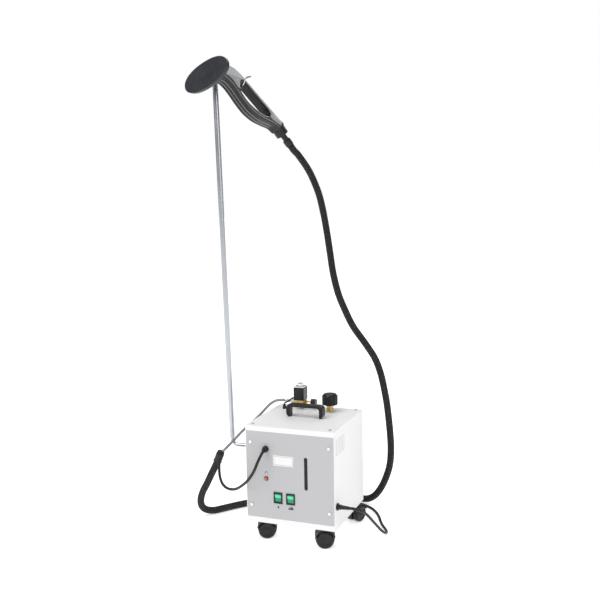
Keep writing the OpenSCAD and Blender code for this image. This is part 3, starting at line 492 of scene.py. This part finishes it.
def refine(node, bevel=0.0005, segments=2, name=None, sharp=32, material=None):
    """A merged copy of a CAD node with its sharp edges rounded, in the node's place."""
    piece = nodes[node].copy()
    piece.data = nodes[node].data.copy()
    piece.name = name or node + "_finished"
    piece.parent = None
    for key in list(piece.keys()):
        del piece[key]
    bpy.context.scene.collection.objects.link(piece)
    bpy.ops.object.select_all(action="DESELECT")
    bpy.context.view_layer.objects.active = piece
    piece.select_set(True)
    bpy.ops.object.mode_set(mode="EDIT")
    bpy.ops.mesh.select_all(action="SELECT")
    bpy.ops.mesh.remove_doubles(threshold=0.000005)
    bpy.ops.mesh.dissolve_limited(angle_limit=radians(0.5))
    bpy.ops.object.mode_set(mode="OBJECT")
    if bevel:
        rounding = piece.modifiers.new("rounding", "BEVEL")
        rounding.width = bevel
        rounding.segments = segments
        rounding.limit_method = "ANGLE"
        rounding.angle_limit = radians(sharp)
        rounding.miter_outer = "MITER_ARC"
        bpy.ops.object.modifier_apply(modifier="rounding")
    bpy.ops.object.shade_smooth_by_angle(angle=radians(sharp))
    flats = piece.modifiers.new("flats", "WEIGHTED_NORMAL")
    flats.keep_sharp = True
    bpy.ops.object.modifier_apply(modifier="flats")
    piece.data.materials.clear()
    if material:
        piece.data.materials.append(material)
    for polygon in piece.data.polygons:
        polygon.material_index = 0
    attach(piece, body_of_node[node])
    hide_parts(node)
    piece.select_set(False)
    return piece


# Rubbed edges, found where the surface turns, and slow clouds of dust and handling.
surface_wear, wear_in, wear_out = shader_group(
    "surface_wear",
    (("Edge", "NodeSocketFloat", 0.3),),
    (("Edge", "NodeSocketFloat"), ("Cloud", "NodeSocketFloat")),
)
wear_place = surface_wear.nodes.new("ShaderNodeTexCoord").outputs["Object"]
turning = surface_wear.nodes.new("ShaderNodeNewGeometry").outputs["Pointiness"]
bend = spread(surface_wear, turning, 0.52, 0.6)
broken = spread(surface_wear, noise(surface_wear, wear_place, 140, 4), 0.42, 0.62)
worn_bend = calc(surface_wear, "MULTIPLY", bend, broken)
rubbed_edge = calc(surface_wear, "MULTIPLY", worn_bend, wear_in.outputs["Edge"])
surface_wear.links.new(rubbed_edge, wear_out.inputs["Edge"])
clouds = spread(surface_wear, noise(surface_wear, wear_place, 22, 4), 0.3, 0.7)
surface_wear.links.new(clouds, wear_out.inputs["Cloud"])


def moulded(name, colour, roughness, grain=0.00012, grain_scale=900, wear=0.25, specular=0.3):
    """Moulded plastic: fine grain, slow colour and gloss changes, and paler rubbed edges."""
    material, tree, shader = build_material(name, colour, roughness, specular=specular)
    texture = tree.nodes.new("ShaderNodeGroup")
    texture.node_tree = surface_wear
    texture.inputs["Edge"].default_value = wear
    rubbed, cloud = texture.outputs["Edge"], texture.outputs["Cloud"]
    lighter = tuple(min(1, c * 1.9 + 0.012) for c in colour)
    dark, pale = (tuple(c * share for c in colour) for share in (0.85, 1.12))
    cloudy = blend_colours(tree, cloud, dark, pale)
    tree.links.new(blend_colours(tree, rubbed, cloudy, lighter), shader.inputs["Base Color"])
    gloss = spread(tree, cloud, 0, 1, roughness - 0.05, roughness + 0.08)
    tree.links.new(gloss, shader.inputs["Roughness"])
    place = tree.nodes.new("ShaderNodeTexCoord").outputs["Object"]
    raise_surface(tree, shader, noise(tree, place, grain_scale, 2), grain, 0.5)
    return material


black_moulding = moulded("black_moulding", (0.016, 0.016, 0.017), 0.38)
plated_steel, plated_tree, plated_shader = build_material("plated_steel", (0.72, 0.72, 0.73), 0.24, 1.0)
plated_place = plated_tree.nodes.new("ShaderNodeTexCoord").outputs["Object"]
plated_gloss = spread(plated_tree, noise(plated_tree, plated_place, 260, 4), 0.3, 0.7, 0.18, 0.36)
plated_tree.links.new(plated_gloss, plated_shader.inputs["Roughness"])
raise_surface(plated_tree, plated_shader, noise(plated_tree, plated_place, 500, 3), 0.00008, 0.5)

plug = refine("mains_plug", 0.0012, 3, sharp=40, material=black_moulding)
plug.data.materials.append(plated_steel)
plug_low, plug_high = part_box("mains_plug")
plug_axis = Vector((0, (plug_low.y + plug_high.y) / 2, (plug_low.z + plug_high.z) / 2))
pin_length = 0.0185
for polygon in plug.data.polygons:
    if polygon.center.x < plug_low.x + pin_length:
        polygon.material_index = 1

# Each rib's place along the plug, its ring's radius and its thickness: first the finger ribs, then
# the sleeve's, which grow towards the body.
finger_pitch = 0.0042
sleeve_pitch = 0.0032
rib_spots = [(plug_low.x + 0.019 + finger_pitch * k, 0.0192, 0.0007) for k in range(1, 4)]
rib_spots += [(plug_high.x - 0.0018 - sleeve_pitch * k, 0.0052 + 0.00085 * k, 0.0008) for k in range(4)]
for count, (x, ring_r, thick) in enumerate(rib_spots, 1):
    bpy.ops.mesh.primitive_torus_add(
        location=(x, plug_axis.y, plug_axis.z), rotation=(0, radians(90), 0), major_segments=40,
        minor_segments=8, major_radius=ring_r, minor_radius=thick,
    )
    rib = bpy.context.object
    rib.name = f"plug_rib_{count}"
    bpy.ops.object.transform_apply(location=True, rotation=True, scale=True)
    for vertex in rib.data.vertices:
        vertex.co.z = max(vertex.co.z, floor_gap)
    bpy.ops.object.shade_smooth()
    rib.data.materials.append(black_moulding)
    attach(rib, "cabinet")
    rib.select_set(False)


# Cabinet: folded sheet steel in two finishes, a white powder coat on the tray and the cover and a
# light grey one on the two panels. The panels are screwed to the corner posts from outside.


def powder_coat(name, colour, roughness):
    """Powder coat: orange peel and a very slow tint, duller where it is paler."""
    material, tree, shader = build_material(name, colour, roughness)
    place = tree.nodes.new("ShaderNodeTexCoord").outputs["Object"]
    tint = spread(tree, noise(tree, place, 6, 3), 0.3, 0.7)
    shaded = tuple(c * 0.975 for c in colour)
    tree.links.new(blend_colours(tree, tint, shaded, colour), shader.inputs["Base Color"])
    tree.links.new(spread(tree, tint, 0, 1, roughness, roughness + 0.07), shader.inputs["Roughness"])
    raise_surface(tree, shader, noise(tree, place, 420, 2), 0.00012, 0.35)
    return material


white_coat = powder_coat("white_powder_coat", (0.86, 0.86, 0.865), 0.36)
grey_coat = powder_coat("grey_powder_coat", (0.50, 0.50, 0.512), 0.42)
for part, coat in (
    ("base_frame", white_coat), ("cover", white_coat), ("front_panel", grey_coat), ("rear_panel", grey_coat)
):
    refine(part, 0.0006, 3, material=coat)
for part in ("panel_screws", "cover_screws"):
    refine(part, 0.0004, 2, material=plated_steel)


# Boiler and its fittings inside the cabinet: welded stainless tank on two saddles, a hairpin
# heater, a pressure switch, a terminal block, and the level gauge behind the slot in the panel.


def turned_metal(name, colour, roughness, scale=320):
    """Machined or drawn metal: fine rings of tool marks and slow tarnish."""
    material, tree, shader = build_material(name, colour, roughness, 1.0)
    place = tree.nodes.new("ShaderNodeTexCoord").outputs["Object"]
    tarnish = spread(tree, noise(tree, place, 90, 5), 0.35, 0.7)
    tarnished = tuple(c * 0.62 for c in colour)
    tree.links.new(blend_colours(tree, tarnish, colour, tarnished), shader.inputs["Base Color"])
    tree.links.new(spread(tree, tarnish, 0, 1, roughness, roughness + 0.22), shader.inputs["Roughness"])
    raise_surface(tree, shader, noise(tree, place, scale, 4), 0.00012, 0.5)
    return material


tank_steel = turned_metal("tank_steel", (0.55, 0.56, 0.58), 0.3)
brass = turned_metal("brass", (0.78, 0.55, 0.22), 0.22)
nickel = turned_metal("nickel_plate", (0.66, 0.65, 0.62), 0.2)
copper = turned_metal("copper_pipe", (0.72, 0.36, 0.2), 0.25)
ivory_nylon = moulded("ivory_nylon", (0.62, 0.58, 0.45), 0.5, wear=0.1)
window_black = moulded("window_black", (0.006, 0.006, 0.007), 0.12, grain=0.00002, wear=0.0)
for part, finish in (
    ("boiler_tank", tank_steel), ("tank_saddles", plated_steel), ("heating_element", tank_steel),
    ("pressure_switch", black_moulding), ("level_gauge", brass), ("sight_window", window_black),
    ("terminal_block", ivory_nylon), ("microswitch", ivory_nylon), ("steam_pipe", copper),
):
    nodes[part].data.materials.clear()
    nodes[part].data.materials.append(finish)


# Top fittings: a brass solenoid valve on a steel riser with its coil on top, the hose tail on the
# left, the regulating knob on the right, and the filler cap on its brass neck.

coil_resin = moulded("coil_resin", (0.014, 0.014, 0.015), 0.3, grain=0.00006)
white_plastic = moulded("white_plastic", (0.82, 0.82, 0.82), 0.3, wear=0.0, specular=0.5)
phenolic = moulded("phenolic", (0.012, 0.012, 0.012), 0.3, grain=0.0002, grain_scale=400, wear=0.5)
refine("filler_neck", 0.0004, 2, material=brass)
refine("filler_cap", 0.0009, 3, sharp=28, material=phenolic)
refine("valve_riser", 0.0004, 2, material=nickel)
refine("escutcheon", 0.0008, 3, material=white_plastic)
refine("valve_body", 0.0008, 2, material=brass)
refine("solenoid_coil", 0.0012, 3, material=coil_resin)
refine("coil_yoke", 0.0006, 2, material=plated_steel)
knob = refine("regulating_knob", 0.0006, 2, material=phenolic)
knob.data.materials.append(brass)
stem_r = 0.0031
knob_middle = (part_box("regulating_knob")[0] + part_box("regulating_knob")[1]) / 2
for polygon in knob.data.polygons:
    out = Vector((0, polygon.center.y - knob_middle.y, polygon.center.z - knob_middle.z)).length
    polygon.material_index = int(out < stem_r and polygon.center.x < knob_middle.x)
refine("outlet_fitting", 0.0004, 2, material=nickel)
refine("coil_lead", 0, material=cable_rubber)
refine("carry_handle", 0.0032, 4, sharp=50, material=black_moulding)


# Front fittings: nylon cable glands, a red pilot lamp with a plated rivet above it, two lit rocker
# switches of translucent green plastic in black frames, and two blank labels. The fittings snap or
# screw into the panels, and the labels are stuck on.

refine("cable_glands", 0.0012, 3, sharp=40, material=black_moulding)
lamp_red, lamp_tree, lamp_shader = build_material("lamp_red", (0.34, 0.02, 0.01), 0.12)
lamp_shader.inputs["Coat Weight"].default_value = 0.6
lamp_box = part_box("pilot_lamp")
lamp_r = (lamp_box[1].x - lamp_box[0].x) / 2
lamp_centre = Vector(((lamp_box[0].x + lamp_box[1].x) / 2, lamp_box[0].y, lamp_box[0].z + lamp_r))
lamp_from = lamp_tree.nodes.new("ShaderNodeVectorMath")
lamp_from.operation = "DISTANCE"
lamp_tree.links.new(lamp_tree.nodes.new("ShaderNodeTexCoord").outputs["Object"], lamp_from.inputs[0])
lamp_from.inputs[1].default_value = lamp_centre
lamp_core = spread(lamp_tree, lamp_from.outputs["Value"], 0.0008, 0.0032, 1, 0)
lamp_tree.links.new(blend_colours(lamp_tree, lamp_core, (0.24, 0.014, 0.008), (0.7, 0.20, 0.06)),
                    lamp_shader.inputs["Base Color"])
lamp_tree.links.new(blend_colours(lamp_tree, lamp_core, (0.02, 0.0, 0.0), (0.8, 0.22, 0.06)),
                    lamp_shader.inputs["Emission Color"])
lamp_shader.inputs["Emission Strength"].default_value = 0.15
lamp = refine("pilot_lamp", 0.0005, 3, material=lamp_red)
lamp.data.materials.append(plated_steel)
rivet_from = lamp_box[0].z + 3 * lamp_r
for polygon in lamp.data.polygons:
    polygon.material_index = int(polygon.center.z > rivet_from)
refine("switch_frames", 0.0007, 3, material=black_moulding)


def lit_green(name):
    """Translucent green switch plastic, lit from within and brighter over its upper half."""
    material, tree, shader = build_material(name, (0.02, 0.36, 0.16), 0.18)
    place = tree.nodes.new("ShaderNodeTexCoord").outputs["Object"]
    parts = tree.nodes.new("ShaderNodeSeparateXYZ")
    tree.links.new(place, parts.inputs[0])
    low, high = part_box("left_rocker")
    upper_half = spread(tree, parts.outputs["Z"], low.z + 0.009, low.z + 0.013)
    mottle = spread(tree, noise(tree, place, 260, 3), 0.35, 0.65, 0.85, 1.0)
    lamp = calc(tree, "MULTIPLY", upper_half, mottle)
    body = blend_colours(tree, lamp, (0.01, 0.27, 0.12), (0.10, 0.62, 0.34))
    light = blend_colours(tree, lamp, (0.0, 0.05, 0.02), (0.05, 0.45, 0.22))
    tree.links.new(body, shader.inputs["Base Color"])
    tree.links.new(light, shader.inputs["Emission Color"])
    shader.inputs["Emission Strength"].default_value = 0.35
    return material


rocker_green = lit_green("rocker_green")
for part in ("left_rocker", "right_rocker"):
    refine(part, 0.0006, 3, material=rocker_green)
label_film = powder_coat("label_film", (0.84, 0.84, 0.845), 0.3)
refine("name_plate", 0, material=label_film)


# Printed symbols on the front panel and rules on the two labels, in screen ink: a peak over the
# lamp, a drop under the water switch and a pressing iron under the iron switch. No lettering.


def flat_shape(name, outline, thickness, rounding, place, material, sharp=()):
    """A flat shape cut to an outline in millimetres, its edges rounded, laid at a place."""
    curve = bpy.data.curves.new(name, "CURVE")
    curve.dimensions = "2D"
    curve.fill_mode = "BOTH"
    curve.resolution_u = 5
    curve.extrude = thickness / 2 - rounding
    curve.bevel_depth = rounding
    curve.bevel_resolution = 2
    curve.offset = -rounding
    spline = curve.splines.new("BEZIER")
    spline.bezier_points.add(len(outline) - 1)
    spline.use_cyclic_u = True
    for i, (knot, (x, y)) in enumerate(zip(spline.bezier_points, outline)):
        knot.co = (x / 1000, y / 1000, 0)
        bend_kind = "VECTOR" if sharp == "all" or i in sharp else "AUTO"
        knot.handle_left_type = bend_kind
        knot.handle_right_type = bend_kind
    piece = bpy.data.objects.new(name, curve)
    bpy.context.scene.collection.objects.link(piece)
    bpy.ops.object.select_all(action="DESELECT")
    bpy.context.view_layer.objects.active = piece
    piece.select_set(True)
    bpy.ops.object.convert(target="MESH")
    piece = bpy.context.object
    bpy.ops.object.mode_set(mode="EDIT")
    bpy.ops.mesh.select_all(action="SELECT")
    bpy.ops.mesh.remove_doubles(threshold=0.000002)
    bpy.ops.mesh.normals_make_consistent(inside=False)
    bpy.ops.object.mode_set(mode="OBJECT")
    piece.data.transform(place)
    piece.data.materials.clear()
    piece.data.materials.append(material)
    bpy.ops.object.shade_smooth_by_angle(angle=radians(40))
    piece.select_set(False)
    return piece


ink = moulded("screen_ink", (0.045, 0.045, 0.05), 0.5, grain=0.00001, wear=0.0)
pale_ink = moulded("pale_ink", (0.24, 0.24, 0.26), 0.5, grain=0.00001, wear=0.0)
ink_t = 0.00016
ink_edge = 0.00002
panel_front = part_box("front_panel")[0].y
panel_turn = Matrix.Rotation(radians(90), 4, "X")


def on_panel(x, z):
    """The place of a print on the front panel, x and z in metres."""
    return Matrix.Translation((x, panel_front, z)) @ panel_turn


left_frame, right_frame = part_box("left_rocker"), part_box("right_rocker")
left_mid = (left_frame[0].x + left_frame[1].x) / 2
right_mid = (right_frame[0].x + right_frame[1].x) / 2
above_lamp = lamp_centre.z + 0.0175
under_switches = left_frame[0].z - 0.0155
peak_outline = [(-6.5, -3.4), (0, 3.6), (6.5, -3.4), (5, -3.4), (0, 1.8), (-5, -3.4)]
drop_outline = [(0, 4.2), (2.3, 0.2), (2.2, -2.3), (0, -3.8), (-2.2, -2.3), (-2.3, 0.2)]
iron_outline = [
    (-8, -3.6), (-6.6, -0.6), (-2.5, 1.2), (4.4, 1.4), (4.4, 2.6),
    (-3.4, 2.6), (-3.4, 4), (5.6, 4), (6.6, 2.6), (8, -3.6),
]
peak_place = on_panel(lamp_centre.x, above_lamp)
drop_place = on_panel(left_mid, under_switches)
iron_place = on_panel(right_mid, under_switches)
symbols = [
    flat_shape("peak_symbol", peak_outline, ink_t, ink_edge, peak_place, ink, "all"),
    flat_shape("drop_symbol", drop_outline, ink_t, ink_edge, drop_place, ink, (0,)),
    flat_shape("iron_symbol", iron_outline, ink_t, ink_edge, iron_place, ink, (0, 3, 4, 5, 6, 9)),
]
for symbol in symbols:
    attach(symbol, "cabinet")

plate_low, plate_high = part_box("name_plate")
rule_t = 0.7


def bar(x0, y0, x1, y1):
    """A straight printed bar's outline, in millimetres."""
    return [(x0, y0), (x1, y0), (x1, y1), (x0, y1)]


half_w, half_h = 27.5, 12
front_rules = [
    bar(-half_w, -half_h, half_w, -half_h + rule_t), bar(-half_w, half_h - rule_t, half_w, half_h),
    bar(-half_w, -half_h, -half_w + rule_t, half_h), bar(half_w - rule_t, -half_h, half_w, half_h),
]
front_label_x, front_label_z = -0.018, 0.2403
front_label = on_panel(front_label_x, front_label_z)
front_label.translation.y = plate_low.y
for count, outline in enumerate(front_rules, 1):
    rule = flat_shape(f"name_plate_rule_{count}", outline, ink_t, ink_edge, front_label, pale_ink, "all")
    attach(rule, "cabinet")

# The rating label on the right side is an empty printed form.
side_label_y, side_label_z = -0.080, 0.2855
side_turn = Matrix.Rotation(radians(90), 4, "Z")
side_label = Matrix.Translation((plate_high.x, side_label_y, side_label_z)) @ side_turn @ panel_turn
side_rules = [bar(-34, y, 34, y + rule_t) for y in (-20, -12, -4, 4, 12, 19.5)]
side_rules += [bar(x, -20, x + rule_t, 20) for x in (-34, -8, 14, 33.5)]
for count, outline in enumerate(side_rules, 1):
    rule = flat_shape(f"rating_label_rule_{count}", outline, ink_t, ink_edge, side_label, pale_ink, "all")
    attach(rule, "cabinet")


# Stand: a chromed tube on a bent bar that a thumb screw holds in its socket. A hook of bent wire
# at its top carries the handpiece.

chrome, chrome_tree, chrome_shader = build_material("chrome", (0.50, 0.52, 0.55), 0.22, 1.0)
chrome_place = chrome_tree.nodes.new("ShaderNodeTexCoord").outputs["Object"]
chrome_haze = spread(chrome_tree, noise(chrome_tree, chrome_place, 14, 3), 0.3, 0.75, 0.2, 0.28)
chrome_tree.links.new(chrome_haze, chrome_shader.inputs["Roughness"])
refine("stand_rod", 0.0006, 2, material=chrome)
refine("stand_arm", 0.0006, 2, sharp=60, material=chrome)
refine("stand_hook", 0, sharp=40, material=chrome)
refine("stand_socket", 0.0006, 2, material=black_moulding)


# Casters: black nylon twin wheels under a nylon hood, on plated plates with a swivel pin. The
# plates sit under the four corners of the tray.

wheel_nylon = moulded("wheel_nylon", (0.012, 0.012, 0.013), 0.34, grain=0.0001, wear=0.35)
hood_nylon = moulded("hood_nylon", (0.014, 0.014, 0.015), 0.42, grain=0.00016, wear=0.35)
for corner in ("front_left", "front_right", "rear_left", "rear_right"):
    refine(corner + "_hood", 0.0008, 2, material=hood_nylon)
    refine(corner + "_wheels", 0.0008, 3, material=wheel_nylon)
refine("caster_plates", 0.0004, 2, material=plated_steel)


# Handpiece: a resin steam plate with its steam holes, a rim behind it and a hollow two part
# handle with a D shaped grip; a collar and a clamp take the sleeve hose.

head_black = moulded("head_black", (0.014, 0.014, 0.016), 0.3, grain=0.0001, specular=0.4)
plate_black = moulded("plate_black", (0.022, 0.024, 0.029), 0.4, grain=0.0002, grain_scale=300, wear=0.5)
grip_black = moulded("grip_black", (0.011, 0.011, 0.012), 0.34, grain=0.00014, specular=0.32)
refine("steam_plate", 0.0009, 2, material=plate_black)
refine("head_shell", 0.0022, 4, sharp=50, material=head_black)
refine("rear_collar", 0.0012, 3, material=grip_black)
refine("hose_clamp", 0.0012, 3, material=grip_black)
refine("handle_screws", 0.0003, 1, material=plated_steel)
refine("trigger", 0.0008, 2, material=grip_black)
for part in ("near_handle_shell", "far_handle_shell"):
    refine(part, 0.002, 3, sharp=50, material=grip_black)

# Each side has a satin grey cheek let into the neck, the upper bar and the rear of the handle; the cheek's
# grey is partly the plastic's own and partly painted sheen of these flat faces.
# The black grip below it carries a raised rib on each side and two along its underside, coloured light grey
# as painted highlights, and a grey bead along the lower edge of the opening is a painted highlight.
# In the handle's own frame x runs back from the plate and y runs up, both in millimetres.
hand_origin = Vector((-0.260, -0.054, 1.2993))
hand_turn = Euler((radians(69.4), radians(10.1), radians(73.05)))
hand_place = Matrix.LocRotScale(hand_origin, hand_turn, None)
# The cheeks' satin grey is partly painted sheen of the flat faces.
cheek_sheen_grey = moulded("cheek_sheen_grey", (0.27, 0.275, 0.295), 0.36, grain=0.00008, wear=0.3, specular=0.5)
# The ribs are coloured light grey as painted highlights along them.
rib_highlight_grey = moulded("rib_highlight_grey", (0.17, 0.172, 0.18), 0.24, grain=0.00004, wear=0.0, specular=0.5)
grip_half = 0.015
cheek_t = 0.0018
cheek_edge = 0.0006
rib_r = 0.0015
rib_sides = 10
cheek_corners = (0, 11, 12, 23, 28)
cheek_outline = [
    (15, 22), (45, 35), (75, 45), (96, 49), (113.5, 48), (131, 41), (148, 31), (161, 22.3), (207, -11.6),
    (253, -44.5), (281, -63), (298, -75.5), (289, -87.5), (266, -81), (246, -70.5), (249.5, -61),
    (245, -49), (233, -38.6), (199, -13.6), (165, 12.6), (150, 22), (138, 20.5), (130.2, 9), (125, -12),
    (116, -9), (100, 8), (80, 17), (50, 13), (15, 0),
]
low_edge = [
    (20, -16), (40, -7), (62, 0), (84, -8), (104, -26), (125, -49),
    (151, -72), (186, -87), (225, -92), (258, -94), (278, -101),
]
high_edge = [
    (20, 4), (44, 14), (66, 17), (94, 6), (118, -18), (138, -42),
    (160, -57), (190, -70), (225, -77), (256, -80), (284, -89),
]
gap_edge = [
    (129.5, -25), (139, -38.2), (156.3, -52.2), (177.5, -63.3), (199.8, -71.3), (222, -75.2),
    (240, -71.5),
]


def handle_line(points, across):
    """A smooth line on the handle, that far across from the plane between its halves."""
    flat_line = smooth_route([Vector((x / 1000, y / 1000, across)) for x, y in points], route_step)
    return [hand_place @ point for point in flat_line]


def rib_radius(share):
    """A rib that fades out at both ends."""
    return rib_r * min(1, 0.25 + 10 * share, 0.25 + 10 * (1 - share))


rib_share = 0.55
side_rib = [
    (low[0] + (high[0] - low[0]) * rib_share, low[1] + (high[1] - low[1]) * rib_share)
    for low, high in zip(low_edge, high_edge)
]
under_rib = low_edge[1:-1]
for side_name, side in (("near", 1), ("far", -1)):
    across = side * grip_half
    cheek_place = hand_place @ Matrix.Translation((0, 0, across))
    side_line = handle_line(side_rib, across)
    under_line = handle_line(under_rib, across / 3)
    # The grey bead along the opening's lower edge is a painted highlight.
    gap_line = handle_line(gap_edge, across)
    cheek_name = f"{side_name}_cheek"
    pieces = [
        flat_shape(cheek_name, cheek_outline, cheek_t, cheek_edge, cheek_place, cheek_sheen_grey, cheek_corners),
        sweep(f"{side_name}_side_rib", side_line, rib_radius, rib_sides, rib_highlight_grey),
        sweep(f"{side_name}_under_rib", under_line, rib_radius, rib_sides, rib_highlight_grey),
        sweep(f"{side_name}_gap_highlight_bead", gap_line, rib_radius, rib_sides, cheek_sheen_grey),
    ]
    for piece in pieces:
        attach(piece, "handpiece")
